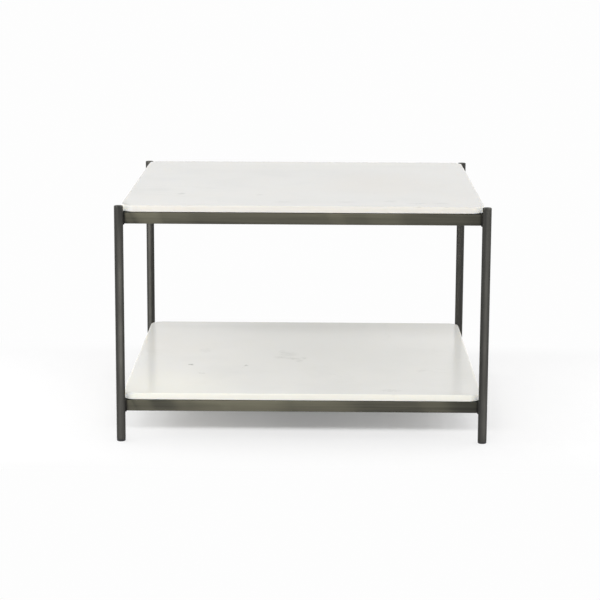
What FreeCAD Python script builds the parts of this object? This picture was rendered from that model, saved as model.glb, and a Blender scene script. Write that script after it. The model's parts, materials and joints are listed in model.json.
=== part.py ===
import FreeCAD, Part
import os
import Sketcher
from FreeCAD import Placement, Rotation, Vector

# A square occasional table that is made to stand side by side with others like it.
# Two stone slabs rest on bumpers on two welded rings of flat bar, and four round bar legs
# stand outside the rings' corners. Each leg has a levelling foot: a threaded stud that
# turns in the leg's tapped end and swivels in a nylon glide.
# Millimetres, +Z up, the floor at zero, the front towards -Y.

# Driving dimensions
SIZES = {
    # the whole table, measured over the legs and up to the top slab's surface
    "overall_width": 711.0,
    "overall_depth": 711.0,
    "overall_height": 457.0,
    "shelf_height": 93.5,
    # slabs
    "slab_thickness": 12.7,
    "slab_corner_radius": 25.4,
    "slab_edge_round": 1.5,
    # legs, whose axes stand this far outside the lines of the slabs' edges
    "leg_diameter": 17.2,
    "leg_outset": 2.65,
    "leg_top_drop": 0.6,
    "leg_top_chamfer": 0.8,
    "tapped_depth": 27.0,
    # rails, whose outer faces lie this far inside the lines of the slabs' edges
    "rail_height": 22.2,
    "rail_width": 10.0,
    "rail_inset": 1.9,
    "rail_corner_radius": 9.5,
    "rail_edge_round": 1.8,
    # bar under the middle of each slab
    "cross_bar_width": 25.0,
    "cross_bar_thickness": 6.0,
    "cross_bar_edge_round": 1.0,
    # bumpers, set in from the ends of what they stand on
    "bumper_diameter": 6.0,
    "bumper_thickness": 0.9,
    "bumper_end_distance": 120.0,
    # welds between the rings' corners and the legs
    "weld_width": 8.0,
    "weld_top_drop": 0.6,
    "weld_overhang": 2.2,
    "weld_clearance": 0.05,
    # nylon glides
    "glide_diameter": 16.8,
    "glide_height": 4.0,
    "glide_chamfer": 0.8,
    "glide_floor": 0.9,
    "glide_hole_diameter": 5.5,
    "glide_leg_gap": 0.4,
    # threaded studs
    "stud_diameter": 6.0,
    "stud_reach": 24.0,
    "stud_chamfer": 0.6,
    "stud_head_diameter": 8.4,
    "stud_head_height": 1.5,
    "stud_socket_width": 4.0,
    "stud_socket_depth": 1.0,
    "thread_clearance": 0.08,
    "swivel_clearance": 0.1,
    "swivel_side_clearance": 0.3,
}

# Signs of the sides, as the expressions take them
LEFT, RIGHT = "-1", "1"
FRONT, BACK = "-1", "1"
CORNERS = {
    "front_left": (LEFT, FRONT),
    "front_right": (RIGHT, FRONT),
    "back_left": (LEFT, BACK),
    "back_right": (RIGHT, BACK),
}

doc = FreeCAD.newDocument("BunchingTable")
sheet = doc.addObject("Spreadsheet::Sheet", "Sizes")
for row, (alias, size) in enumerate(SIZES.items(), start=1):
    sheet.set(f"A{row}", str(size))
    sheet.setAlias(f"A{row}", alias)
doc.recompute()

# Places worked out from the driving dimensions, as expressions on the sheet
LEG_X = "((Sizes.overall_width - Sizes.leg_diameter) / 2)"
LEG_Y = "((Sizes.overall_depth - Sizes.leg_diameter) / 2)"
SLAB_X = f"({LEG_X} - Sizes.leg_outset)"
SLAB_Y = f"({LEG_Y} - Sizes.leg_outset)"
RAIL_X = f"({SLAB_X} - Sizes.rail_inset)"
RAIL_Y = f"({SLAB_Y} - Sizes.rail_inset)"
LEG_BASE = "(Sizes.glide_height + Sizes.glide_leg_gap)"
LEG_LENGTH = f"(Sizes.overall_height - Sizes.leg_top_drop - {LEG_BASE})"
SURFACES = {"top": "Sizes.overall_height", "shelf": "Sizes.shelf_height"}


def slab_base(tier):
    """Height of a slab's underside."""
    return f"({SURFACES[tier]} - Sizes.slab_thickness)"


def rail_top(tier):
    """Height of a ring's upper face, one bumper below the slab."""
    return f"({slab_base(tier)} - Sizes.bumper_thickness)"


def rail_base(tier):
    """Height of a ring's lower face."""
    return f"({rail_top(tier)} - Sizes.rail_height)"


def number(expression):
    """The present value of an expression on the sheet."""
    return float(sheet.evalExpression(expression))


def signed(sign, expression):
    """The expression on the left or right, front or back."""
    return f"({sign} * {expression})"


# Sketches and features that several pieces share
def new_body(label):
    """A body that carries a piece's name."""
    body = doc.addObject("PartDesign::Body", label)
    body.Label = label
    return body


def new_sketch(body, name, role="XY_Plane", lift=None):
    """A sketch on one of the body's own planes, raised by an expression where one is given."""
    sketch = body.newObject("Sketcher::SketchObject", f"{body.Label}_{name}")
    plane = next(item for item in body.Origin.OriginFeatures if item.Role == role)
    sketch.AttachmentSupport = [(plane, "")]
    sketch.MapMode = "FlatFace"
    if lift:
        sketch.setExpression("AttachmentOffset.Base.z", lift)
    return sketch


def hold(sketch, curve, point, spot):
    """Tie one point of a sketch's curve to a spot given as two expressions."""
    origin = (-1, 1)
    for kind, expression in zip(("DistanceX", "DistanceY"), spot):
        index = sketch.addConstraint(Sketcher.Constraint(kind, *origin, curve, point, number(expression)))
        sketch.setExpression(f"Constraints[{index}]", expression)


def add_outline(sketch, spots, arcs=()):
    """A closed outline through spots, with straight sides except for the numbered arcs.

    An arc is (side, centre, radius): the side from that spot to the next turns anticlockwise
    about the centre.
    """
    points = [Vector(number(x), number(y), 0) for x, y in spots]
    bends = {side: (centre, radius) for side, centre, radius in arcs}
    curves = []
    for side, start in enumerate(points):
        end = points[(side + 1) % len(points)]
        if side in bends:
            centre, radius = bends[side]
            middle = Vector(number(centre[0]), number(centre[1]), 0)
            circle = Part.Circle(middle, Vector(0, 0, 1), number(radius))
            curve = Part.ArcOfCircle(circle, circle.parameter(start), circle.parameter(end))
        else:
            curve = Part.LineSegment(start, end)
        curves.append(sketch.addGeometry(curve))
    for side, curve in enumerate(curves):
        following = curves[(side + 1) % len(curves)]
        sketch.addConstraint(Sketcher.Constraint("Coincident", curve, 2, following, 1))
        hold(sketch, curve, 1, spots[side])
        if side in bends:
            radius = bends[side][1]
            index = sketch.addConstraint(Sketcher.Constraint("Radius", curve, number(radius)))
            sketch.setExpression(f"Constraints[{index}]", radius)


def add_circle(sketch, spot, radius):
    """A circle about a spot, all given as expressions."""
    centre = Vector(number(spot[0]), number(spot[1]), 0)
    curve = sketch.addGeometry(Part.Circle(centre, Vector(0, 0, 1), number(radius)))
    hold(sketch, curve, 3, spot)
    index = sketch.addConstraint(Sketcher.Constraint("Radius", curve, number(radius)))
    sketch.setExpression(f"Constraints[{index}]", radius)


def pad(body, sketch, length):
    """The sketch raised along +Z."""
    feature = body.newObject("PartDesign::Pad", f"{sketch.Name}_pad")
    feature.Profile = sketch
    feature.setExpression("Length", length)
    doc.recompute()
    return feature


def cut_up(body, sketch, depth=None):
    """The sketch cut upwards out of the body, right through where no depth is given."""
    volume = body.Shape.Volume
    feature = body.newObject("PartDesign::Pocket", f"{sketch.Name}_cut")
    feature.Profile = sketch
    feature.Reversed = True
    if depth:
        feature.setExpression("Length", depth)
    else:
        feature.Type = "ThroughAll"
    doc.recompute()
    if body.Shape.Volume >= volume:
        raise RuntimeError(f"{feature.Name} cuts nothing")
    return feature


def turn(body, sketch):
    """The sketch, drawn in radius and height, turned about the body's own Z axis."""
    feature = body.newObject("PartDesign::Revolution", f"{sketch.Name}_turned")
    feature.Profile = sketch
    feature.ReferenceAxis = (sketch, ["V_Axis"])
    feature.Angle = 360
    doc.recompute()
    return feature


def round_edges(body, name, wanted, radius):
    """A fillet on the edges of the body for which wanted(edge) is true."""
    base = body.Tip
    edges = [f"Edge{i}" for i, edge in enumerate(base.Shape.Edges, start=1) if wanted(edge)]
    if not edges:
        raise RuntimeError(f"{body.Label} has no edges for {name}")
    feature = body.newObject("PartDesign::Fillet", f"{body.Label}_{name}")
    feature.Base = (base, edges)
    feature.setExpression("Radius", radius)
    doc.recompute()
    return feature


def place(piece, x="0", y="0", z="0", angle=0):
    """Stand a piece at a spot given as expressions, turned about Z by whole degrees."""
    piece.Placement = Placement(Vector(), Rotation(Vector(0, 0, 1), angle))
    for axis, expression in zip("xyz", (x, y, z)):
        piece.setExpression(f"Placement.Base.{axis}", expression)


def is_upright(edge):
    """True for an edge that climbs more than it runs."""
    box = edge.BoundBox
    return box.ZLength > box.XLength + box.YLength


def is_level(edge):
    """True for an edge that runs more than it climbs."""
    return not is_upright(edge)


# Slabs
def make_slab(tier):
    """A stone slab: a rounded rectangle in plan, with its upper and lower edges eased."""
    body = new_body(f"{tier}_slab")
    sketch = new_sketch(body, "plan")
    round_the_slab = [(LEFT, FRONT), (RIGHT, FRONT), (RIGHT, BACK), (LEFT, BACK)]
    add_outline(sketch, [(signed(sx, SLAB_X), signed(sy, SLAB_Y)) for sx, sy in round_the_slab])
    pad(body, sketch, "Sizes.slab_thickness")
    round_edges(body, "corners", is_upright, "Sizes.slab_corner_radius")
    round_edges(body, "eased_edges", is_level, "Sizes.slab_edge_round")
    place(body, z=slab_base(tier))
    return body


# Legs
def make_leg(corner):
    """A round bar, chamfered at its top and tapped from below for the stud."""
    sx, sy = CORNERS[corner]
    body = new_body(f"leg_{corner}")
    sketch = new_sketch(body, "half_section", "XZ_Plane")
    radius = "Sizes.leg_diameter / 2"
    bore = "(Sizes.stud_diameter / 2 + Sizes.thread_clearance)"
    add_outline(sketch, [
        (bore, "0"),
        (radius, "0"),
        (radius, f"{LEG_LENGTH} - Sizes.leg_top_chamfer"),
        (f"{radius} - Sizes.leg_top_chamfer", LEG_LENGTH),
        ("0", LEG_LENGTH),
        ("0", "Sizes.tapped_depth"),
        (bore, "Sizes.tapped_depth"),
    ])
    turn(body, sketch)
    place(body, signed(sx, LEG_X), signed(sy, LEG_Y), LEG_BASE)
    return body


# Rings of rails
def make_rail(tier, side, angle):
    """A flat bar on edge, mitred at both ends, with its share of the ring's round corners.

    It is drawn with its outer face along the X axis and its inner face towards +Y.
    """
    runs_across = side in ("front", "back")
    half = RAIL_X if runs_across else RAIL_Y
    reach = RAIL_Y if runs_across else RAIL_X
    body = new_body(f"{tier}_rail_{side}")
    sketch = new_sketch(body, "plan")
    radius = "Sizes.rail_corner_radius"
    bend = f"({half} - {radius})"
    mitre_x = f"({bend} + {radius} * sqrt(2) / 2)"
    mitre_y = f"({radius} - {radius} * sqrt(2) / 2)"
    inner = f"({half} - Sizes.rail_width)"
    add_outline(
        sketch,
        [
            (signed(LEFT, bend), "0"),
            (bend, "0"),
            (mitre_x, mitre_y),
            (inner, "Sizes.rail_width"),
            (signed(LEFT, inner), "Sizes.rail_width"),
            (signed(LEFT, mitre_x), mitre_y),
        ],
        arcs=[(1, (bend, radius), radius), (5, (signed(LEFT, bend), radius), radius)],
    )
    pad(body, sketch, "Sizes.rail_height")
    outer_reach = number(mitre_y) + (number("Sizes.rail_width") - number(mitre_y)) / 2

    def is_outer(edge):
        """True for a level edge along the outer face and its round ends."""
        return is_level(edge) and edge.BoundBox.YMax < outer_reach

    round_edges(body, "worked_edges", is_outer, "Sizes.rail_edge_round")
    outward = {"front": ("0", FRONT), "right": (RIGHT, "0"), "back": ("0", BACK), "left": (LEFT, "0")}[side]
    place(body, signed(outward[0], reach), signed(outward[1], reach), rail_base(tier), angle)
    return body


def make_cross_bar(tier):
    """A flat bar from the front rail to the back rail, level with the ring's upper face."""
    body = new_body(f"{tier}_cross_bar")
    sketch = new_sketch(body, "plan")
    half_width = "Sizes.cross_bar_width / 2"
    half_run = f"({RAIL_Y} - Sizes.rail_width)"
    add_outline(sketch, [
        (f"-{half_width}", signed(FRONT, half_run)),
        (half_width, signed(FRONT, half_run)),
        (half_width, half_run),
        (f"-{half_width}", half_run),
    ])
    pad(body, sketch, "Sizes.cross_bar_thickness")

    def is_long(edge):
        """True for an edge along the bar's run."""
        return edge.BoundBox.YLength > number("Sizes.cross_bar_width")

    round_edges(body, "long_edges", is_long, "Sizes.cross_bar_edge_round")
    place(body, z=f"{rail_top(tier)} - Sizes.cross_bar_thickness")
    return body


def make_bumpers(tier):
    """Clear bumpers on the ring: two a rail and two on the cross bar, under the slab."""
    across = f"({RAIL_X} - Sizes.bumper_end_distance)"
    along = f"({RAIL_Y} - Sizes.bumper_end_distance)"
    side_x = f"({RAIL_X} - Sizes.rail_width / 2)"
    side_y = f"({RAIL_Y} - Sizes.rail_width / 2)"
    spots = [(signed(sx, across), signed(sy, side_y)) for sx, sy in CORNERS.values()]
    spots += [(signed(sx, side_x), signed(sy, along)) for sx, sy in CORNERS.values()]
    spots += [("0", signed(sy, along)) for sy in (FRONT, BACK)]
    discs = []
    for count, (x, y) in enumerate(spots, start=1):
        disc = doc.addObject("Part::Cylinder", f"{tier}_bumper_{count}")
        disc.setExpression("Radius", "Sizes.bumper_diameter / 2")
        disc.setExpression("Height", "Sizes.bumper_thickness")
        place(disc, x, y, rail_top(tier))
        discs.append(disc)
    group = doc.addObject("Part::Compound", f"{tier}_bumpers")
    group.Label = f"{tier}_bumpers"
    group.Links = discs
    return group


def make_welds(tier):
    """A weld at each corner of the ring: a web between the round corner and the leg."""
    body = new_body(f"{tier}_frame_welds")
    body.AllowCompound = True
    webs = new_sketch(body, "webs")
    corners = new_sketch(body, "ring_corners")
    legs = new_sketch(body, "legs")
    aside = "(Sizes.weld_width / 2 * sqrt(2) / 2)"
    for sx, sy in CORNERS.values():
        bend = (f"({RAIL_X} - Sizes.rail_corner_radius)", f"({RAIL_Y} - Sizes.rail_corner_radius)")
        web = [
            (f"({bend[0]} + {aside})", f"({bend[1]} - {aside})"),
            (f"({LEG_X} + {aside})", f"({LEG_Y} - {aside})"),
            (f"({LEG_X} - {aside})", f"({LEG_Y} + {aside})"),
            (f"({bend[0]} - {aside})", f"({bend[1]} + {aside})"),
        ]
        add_outline(webs, [(signed(sx, x), signed(sy, y)) for x, y in web])
        ring_corner = (signed(sx, bend[0]), signed(sy, bend[1]))
        add_circle(corners, ring_corner, "Sizes.rail_corner_radius + Sizes.weld_clearance")
        leg_axis = (signed(sx, LEG_X), signed(sy, LEG_Y))
        add_circle(legs, leg_axis, "Sizes.leg_diameter / 2 + Sizes.weld_clearance")
    pad(body, webs, "Sizes.rail_height + Sizes.weld_overhang - Sizes.weld_top_drop")
    cut_up(body, corners)
    cut_up(body, legs)
    place(body, z=f"{rail_base(tier)} - Sizes.weld_overhang")
    return body


# Levelling feet
HEAD_BASE = "(Sizes.glide_floor + Sizes.swivel_clearance)"
HEAD_TOP = f"({HEAD_BASE} + Sizes.stud_head_height)"


def make_glide(corner):
    """A nylon glide: a disc with a pocket that holds the stud's head and a hole to reach it."""
    sx, sy = CORNERS[corner]
    body = new_body(f"foot_glide_{corner}")
    sketch = new_sketch(body, "half_section", "XZ_Plane")
    outer = "Sizes.glide_diameter / 2"
    hole = "Sizes.glide_hole_diameter / 2"
    throat = "(Sizes.stud_diameter / 2 + Sizes.swivel_side_clearance)"
    pocket = "(Sizes.stud_head_diameter / 2 + Sizes.swivel_side_clearance)"
    lip = f"({HEAD_TOP} + Sizes.swivel_clearance)"
    add_outline(sketch, [
        (hole, "0"),
        (f"{outer} - Sizes.glide_chamfer", "0"),
        (outer, "Sizes.glide_chamfer"),
        (outer, "Sizes.glide_height"),
        (throat, "Sizes.glide_height"),
        (throat, lip),
        (pocket, lip),
        (pocket, "Sizes.glide_floor"),
        (hole, "Sizes.glide_floor"),
    ])
    turn(body, sketch)
    place(body, signed(sx, LEG_X), signed(sy, LEG_Y))
    return body


def make_stud(corner):
    """A threaded stud, plain here at its outside diameter, with a hexagon socket in its head."""
    sx, sy = CORNERS[corner]
    body = new_body(f"foot_stud_{corner}")
    sketch = new_sketch(body, "half_section", "XZ_Plane")
    stem = "Sizes.stud_diameter / 2"
    head = "Sizes.stud_head_diameter / 2"
    end = f"({LEG_BASE} + Sizes.stud_reach)"
    add_outline(sketch, [
        ("0", HEAD_BASE),
        (head, HEAD_BASE),
        (head, HEAD_TOP),
        (stem, HEAD_TOP),
        (stem, f"{end} - Sizes.stud_chamfer"),
        (f"{stem} - Sizes.stud_chamfer", end),
        ("0", end),
    ])
    turn(body, sketch)
    socket = new_sketch(body, "socket", lift=HEAD_BASE)
    reach = "Sizes.stud_socket_width / sqrt(3)"
    turns = [f"{angle} deg" for angle in range(0, 360, 60)]
    add_outline(socket, [(f"{reach} * cos({angle})", f"{reach} * sin({angle})") for angle in turns])
    cut_up(body, socket, "Sizes.stud_socket_depth")
    place(body, signed(sx, LEG_X), signed(sy, LEG_Y))
    return body


pieces = [make_leg(corner) for corner in CORNERS]
for tier in SURFACES:
    pieces.append(make_slab(tier))
    for side, angle in (("front", 0), ("right", 90), ("back", 180), ("left", 270)):
        pieces.append(make_rail(tier, side, angle))
    pieces.append(make_cross_bar(tier))
    pieces.append(make_bumpers(tier))
    pieces.append(make_welds(tier))
pieces += [make_glide(corner) for corner in CORNERS]
pieces += [make_stud(corner) for corner in CORNERS]
doc.recompute()

for item in doc.Objects:
    if "Invalid" in item.State or "Error" in item.State:
        raise RuntimeError(f"{item.Label} failed: {item.State}")
os.makedirs("parts", exist_ok=True)
for piece in pieces:
    shape = piece.Shape
    if shape.isNull() or not shape.isValid():
        raise RuntimeError(f"{piece.Label} has no valid shape")
for piece in pieces:
    piece.Shape.exportStep(f"parts/{piece.Label}.step")
    box = piece.Shape.BoundBox
    print(f"{piece.Label}: {len(piece.Shape.Solids)} solid(s), {piece.Shape.Volume / 1000:.2f} cm3, "
          f"z {box.ZMin:.2f} to {box.ZMax:.2f}")
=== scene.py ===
# %% [markdown]
# # A bunching table of white stone and dark iron
# Two polished stone slabs lie on rings of flat iron bar, and four round bars carry the rings.
# This lesson dresses the packed model of that table. The model stays as the frame that says
# where each piece is and how it moves, and a finer surface takes the place of each solid.
# Lengths are metres, +Z is up, and the front of the table faces -Y.

# %% The frame
import json
import math

import bpy
import numpy as np
from mathutils import Matrix, Vector

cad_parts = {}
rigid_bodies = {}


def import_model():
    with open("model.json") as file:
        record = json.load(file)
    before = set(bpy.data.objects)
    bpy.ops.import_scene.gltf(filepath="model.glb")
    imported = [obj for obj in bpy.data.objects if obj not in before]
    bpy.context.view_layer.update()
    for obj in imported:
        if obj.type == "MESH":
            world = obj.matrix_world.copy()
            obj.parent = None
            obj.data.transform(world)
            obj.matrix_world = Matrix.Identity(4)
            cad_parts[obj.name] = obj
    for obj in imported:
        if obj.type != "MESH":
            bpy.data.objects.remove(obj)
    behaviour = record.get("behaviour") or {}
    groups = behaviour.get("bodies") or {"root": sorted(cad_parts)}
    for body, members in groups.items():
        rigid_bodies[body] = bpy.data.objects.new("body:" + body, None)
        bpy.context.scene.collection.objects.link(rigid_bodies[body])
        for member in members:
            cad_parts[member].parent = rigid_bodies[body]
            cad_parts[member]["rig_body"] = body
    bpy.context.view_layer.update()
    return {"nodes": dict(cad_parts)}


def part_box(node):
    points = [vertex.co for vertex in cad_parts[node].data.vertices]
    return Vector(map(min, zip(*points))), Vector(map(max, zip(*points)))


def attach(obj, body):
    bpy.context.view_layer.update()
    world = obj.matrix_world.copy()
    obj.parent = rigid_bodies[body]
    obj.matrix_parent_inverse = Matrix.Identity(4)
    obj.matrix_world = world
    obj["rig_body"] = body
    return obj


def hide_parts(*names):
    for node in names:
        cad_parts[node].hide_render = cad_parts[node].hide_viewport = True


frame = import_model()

# %% [markdown]
# ## Sizes
# Most sizes come straight from the boxes of the frame's pieces. A box hides a piece's rounded
# corners and bores, so those few sizes are written here or beside their piece, once, and every
# surface below is worked out from them.

# %% Sizes
TIERS = ("top", "shelf")
CORNERS = {"front_left": (-1, -1), "front_right": (1, -1), "back_left": (-1, 1), "back_right": (1, 1)}
SIDES = {"front": 0, "right": 90, "back": 180, "left": 270}    # and how far each rail is turned

SLAB_CORNER_RADIUS = 0.0254
SLAB_ARRIS = 0.0015
LEG_CHAMFER = 0.0008
BORE_RADIUS = 0.00308
BORE_DEPTH = 0.027
RAIL_WIDTH = 0.010
RAIL_CORNER_RADIUS = 0.0095
RAIL_OUTER_ROUND = 0.0018
RAIL_INNER_ROUND = 0.0005
THREAD_PITCH = 0.001


def span(node):
    """The lowest and highest corner of a piece of the frame, as arrays."""
    low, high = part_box(node)
    return np.array(low), np.array(high)


leg_low, leg_high = span("leg_front_right")
leg_spot = np.abs((leg_low + leg_high) / 2)[:2]
leg_radius = (leg_high - leg_low)[0] / 2
ring_half = span("top_rail_right")[1][0]
print("legs", (leg_radius * 2000).round(2), "mm across, at", (leg_spot * 1000).round(2))

# %% [markdown]
# ## Skins
# Each piece is a closed skin over rings of points, like the rings of a lampshade: ring i holds
# points j all the way round. Neighbouring points of neighbouring rings make one four-sided
# face, so the whole skin comes from two shifted copies of one table of numbers. Blender could
# also cut and bevel a box, but rings let a formula bend, wear or thread the surface anywhere.
# An end is closed by a fan of triangles to its middle, or the last ring joins the first.

# %% Skins
FAN, LOOP = "fan", "loop"
SHARP_ANGLE = math.radians(40)


def signed_volume(points, faces):
    """Six times the volume inside triangles: the sum of each corner's triple product."""
    a, b, c = (points[faces[:, k]] for k in range(3))
    return np.einsum("ij,ij->", a, np.cross(b, c))


def skin(name, shells, ends=FAN, marks=None):
    """A smooth mesh over shells[s, i, j], the point j of ring i of closed shell s.

    marks holds one number per point under each name, such as how worn the point is.
    """
    shells = np.asarray(shells, float)
    shells = shells.reshape((-1,) + shells.shape[-3:])
    count, rings, around = shells.shape[:3]
    index = np.arange(count * rings * around).reshape(count, rings, around)
    beside = np.roll(index, -1, axis=2)
    above, above_beside = (np.roll(table, -1, axis=1) for table in (index, beside))
    quads = np.stack([index, beside, above_beside, above], axis=-1)
    quads = (quads if ends == LOOP else quads[:, :-1]).reshape(-1, 4)
    points = shells.reshape(-1, 3)
    fans = np.zeros((0, 3), int)
    if ends == FAN:
        tips = np.stack([shells[:, 0].mean(axis=1), shells[:, -1].mean(axis=1)], axis=1)
        tip = len(points) + np.arange(2 * count).reshape(count, 2, 1) + np.zeros(around, int)
        first = np.stack([tip[:, 0], beside[:, 0], index[:, 0]], axis=-1)
        last = np.stack([tip[:, 1], index[:, -1], beside[:, -1]], axis=-1)
        fans = np.concatenate([first, last]).reshape(-1, 3)
        points = np.concatenate([points, tips.reshape(-1, 3)])
    triangles = np.concatenate([quads[:, :3], quads[:, [0, 2, 3]], fans])
    if signed_volume(points - points.mean(axis=0), triangles) < 0:
        quads, fans = quads[:, ::-1], fans[:, ::-1]
    mesh = bpy.data.meshes.new(name)
    mesh.from_pydata(points.tolist(), [], quads.tolist() + fans.tolist())
    for mark, amount in (marks or {}).items():
        amounts = np.zeros(len(points), np.float32)
        amounts[:shells[..., 0].size] = np.broadcast_to(amount, shells.shape[:-1]).ravel()
        mesh.attributes.new(mark, "FLOAT", "POINT").data.foreach_set("value", amounts)
    mesh.shade_smooth()
    mesh.set_sharp_from_angle(angle=SHARP_ANGLE)
    piece = bpy.data.objects.new(name, mesh)
    bpy.context.scene.collection.objects.link(piece)
    return piece


print("six times the corner of a unit cube:", signed_volume(np.eye(3), np.array([(0, 1, 2)])))

# %% [markdown]
# ## Profiles and waves
# Legs, glides and bumpers are turned: a profile of radius and height is swept round an upright
# axis, as on a lathe. A worked corner is never quite sharp, so one helper softens the corners
# of a profile. Another gives the slow unevenness that a mill or a hand leaves behind. Blender's
# noise could bend a mesh too, but a sum of sines can be told how long its waves are.

# %% Profiles and waves
MOST_OF_A_SIDE = 0.45    # that the softening of one corner may take up


def stacked(x, y, z):
    """Points from tables of their coordinates, each stretched to the size of the largest."""
    return np.stack(np.broadcast_arrays(x, y, z), axis=-1)


def lathe(radius, height, around, spot=(0, 0)):
    """Rings round an upright axis: the cosine and sine of each angle times the radius at that height.

    There is one radius for a ring, or one for each of its points, as on a thread.
    """
    angle = np.linspace(0, 2 * np.pi, around, endpoint=False)
    radius = np.reshape(radius, (len(height), -1))
    return stacked(spot[0] + radius * np.cos(angle), spot[1] + radius * np.sin(angle), height[:, None])


def eased(corners, radius, steps=4, closed=False):
    """A profile with softened corners.

    Each corner gives way to a parabola that starts and ends radius away from it.
    """
    corner = np.asarray(corners, float)
    toward = [np.roll(corner, shift, axis=0) - corner for shift in (1, -1)]
    run = [np.linalg.norm(side, axis=1, keepdims=True) for side in toward]
    cut = [corner + side / length * np.minimum(radius, length * MOST_OF_A_SIDE)
           for side, length in zip(toward, run)]
    t = np.linspace(0, 1, steps)[:, None, None]
    bend = (1 - t) ** 2 * cut[0] + 2 * t * (1 - t) * corner + t ** 2 * cut[1]
    bend = np.swapaxes(bend, 0, 1)
    if not closed:
        bend[0], bend[-1] = corner[0], corner[-1]
        return np.concatenate([bend[0, :1], bend[1:-1].reshape(-1, 2), bend[-1, :1]])
    return bend.reshape(-1, 2)


def ripple(place, seed, longest, shortest, count=9):
    """A gentle wave along a line: sines of random lengths, from longest to shortest, weighted by length."""
    chance = np.random.default_rng(seed)
    lengths = np.geomspace(longest, shortest, count) * chance.uniform(0.9, 1.1, count)
    weights = lengths / lengths.sum()
    phases = chance.uniform(0, 2 * np.pi, count)
    return np.sum(weights * np.sin(2 * np.pi * np.asarray(place)[..., None] / lengths + phases), axis=-1)


print("ripple over a metre spans", np.ptp(ripple(np.linspace(0, 1, 500), 1, 0.3, 0.02)).round(2))

# %% [markdown]
# ## Shader sums
# Finishes are written as sums, such as `0.4 + 0.2 * clouds`. A small class wraps the output of
# a node and turns each sign into a Math node, and one method adds every other kind of node.

# %% Shader sums
class Wire:
    """The output of a node, which adds a Math node for each sum that it takes part in."""

    def __init__(self, tree, socket):
        self.tree, self.socket = tree, socket

    def worked(self, operation, *terms):
        """A Math node on one or two terms."""
        return self.tree.add("ShaderNodeMath", {"operation": operation},
                             dict(zip(("Value", "Value_001"), terms)))

    def __add__(self, other):
        return self.worked("ADD", self, other)

    def __sub__(self, other):
        return self.worked("SUBTRACT", self, other)

    def __rsub__(self, other):
        return self.worked("SUBTRACT", other, self)

    def __mul__(self, other):
        return self.worked("MULTIPLY", self, other)

    def __abs__(self):
        return self.worked("ABSOLUTE", self)

    __radd__, __rmul__ = __add__, __mul__


print("signs that make nodes:", "+ - * abs")

# %% [markdown]
# ## Node trees
# A finish is a tree of nodes. Clicking nodes together works for one finish; in a script, a few
# short methods for the nodes that keep coming back leave each finish readable from top to
# bottom. All of them go through the same method, which sets a node's settings before its
# sockets.

# %% Node trees
class Tree:
    """The nodes of a material or of the world, all added by one method."""

    def __init__(self, owner):
        owner.use_nodes = True
        self.owner, self.nodes, self.links = owner, owner.node_tree.nodes, owner.node_tree.links
        self.nodes.clear()

    def add(self, kind, settings=None, sockets=None, out=0):
        """A node with its settings, then the values or wires of its sockets; returns one output."""
        node = self.nodes.new(kind)
        for name, value in (settings or {}).items():
            setattr(node, name, value)
        for name, value in (sockets or {}).items():
            socket = next(item for item in node.inputs if name in (item.identifier, item.name))
            if isinstance(value, Wire):
                self.links.new(value.socket, socket)
            else:
                socket.default_value = value
        return Wire(self, node.outputs[out] if node.outputs else None)

    def place(self, scale=(1, 1, 1), shift=(0, 0, 0)):
        """The object's own coordinates in metres, stretched and shifted."""
        spot = self.add("ShaderNodeTexCoord", out="Object")
        return self.add("ShaderNodeMapping", None, {"Vector": spot, "Scale": scale, "Location": shift})

    def vector(self, operation, *terms, out="Vector"):
        """Vector Math on up to three vectors."""
        return self.add("ShaderNodeVectorMath", {"operation": operation},
                        dict(zip(("Vector", "Vector_001", "Vector_002"), terms)), out=out)

    def noise(self, place, scale, detail=3.0, roughness=0.55, distortion=0.0, out=0):
        """Soft noise between 0 and 1, with about scale waves to the metre."""
        return self.add("ShaderNodeTexNoise", None, {
            "Vector": place, "Scale": scale, "Detail": detail,
            "Roughness": roughness, "Distortion": distortion}, out=out)

    def fade(self, value, start, end):
        """A smooth step from 0 at start to 1 at end."""
        return self.add("ShaderNodeMapRange", {"interpolation_type": "SMOOTHSTEP"},
                        {"Value": value, "From Min": start, "From Max": end})

    def mixed(self, share, first, second):
        """A colour between two, by share."""
        return self.add("ShaderNodeMix", {"data_type": "RGBA"},
                        {"Factor_Float": share, "A_Color": first, "B_Color": second}, out=2)

    def mark(self, name):
        """A number that the mesh carries at each point."""
        return self.add("ShaderNodeAttribute", {"attribute_name": name}, out="Fac")

    def bump(self, height, distance):
        """A normal tilted by a height between 0 and 1, where 1 stands that many metres proud."""
        return self.add("ShaderNodeBump", None, {"Height": height, "Distance": distance, "Strength": 1.0})

    def finish(self, **sockets):
        """The owner, with a principled shader for its output; underscores stand for a socket's spaces."""
        shader = self.add("ShaderNodeBsdfPrincipled", None,
                          {name.replace("_", " "): value for name, value in sockets.items()})
        self.add("ShaderNodeOutputMaterial", None, {"Surface": shader})
        return self.owner


def colour(red, green, blue):
    """An opaque colour."""
    return (red, green, blue, 1.0)


print("short methods:", [name for name in vars(Tree) if not name.startswith("_")])

# %% [markdown]
# ## Camera
# The photograph was taken from a little above the table, almost square to its front, with a
# long lens. A camera is a place, three turns and a focal length; fitting the table's straight
# edges gave these numbers.

# %% Camera
PICTURE_PIXELS = 600
FOCAL_PIXELS = 1992.7
CAMERA_PLACE = Vector((0.0325, -4.0595, 0.9926))
YAW, PITCH, ROLL = (math.radians(angle) for angle in (-0.566, 10.900, 0.272))

ahead = Vector((math.sin(YAW) * math.cos(PITCH), math.cos(YAW) * math.cos(PITCH), -math.sin(PITCH)))
level = Vector((math.cos(YAW), -math.sin(YAW), 0))
upward = level.cross(ahead)
to_right = level * math.cos(ROLL) + upward * math.sin(ROLL)
to_top = upward * math.cos(ROLL) - level * math.sin(ROLL)

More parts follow.
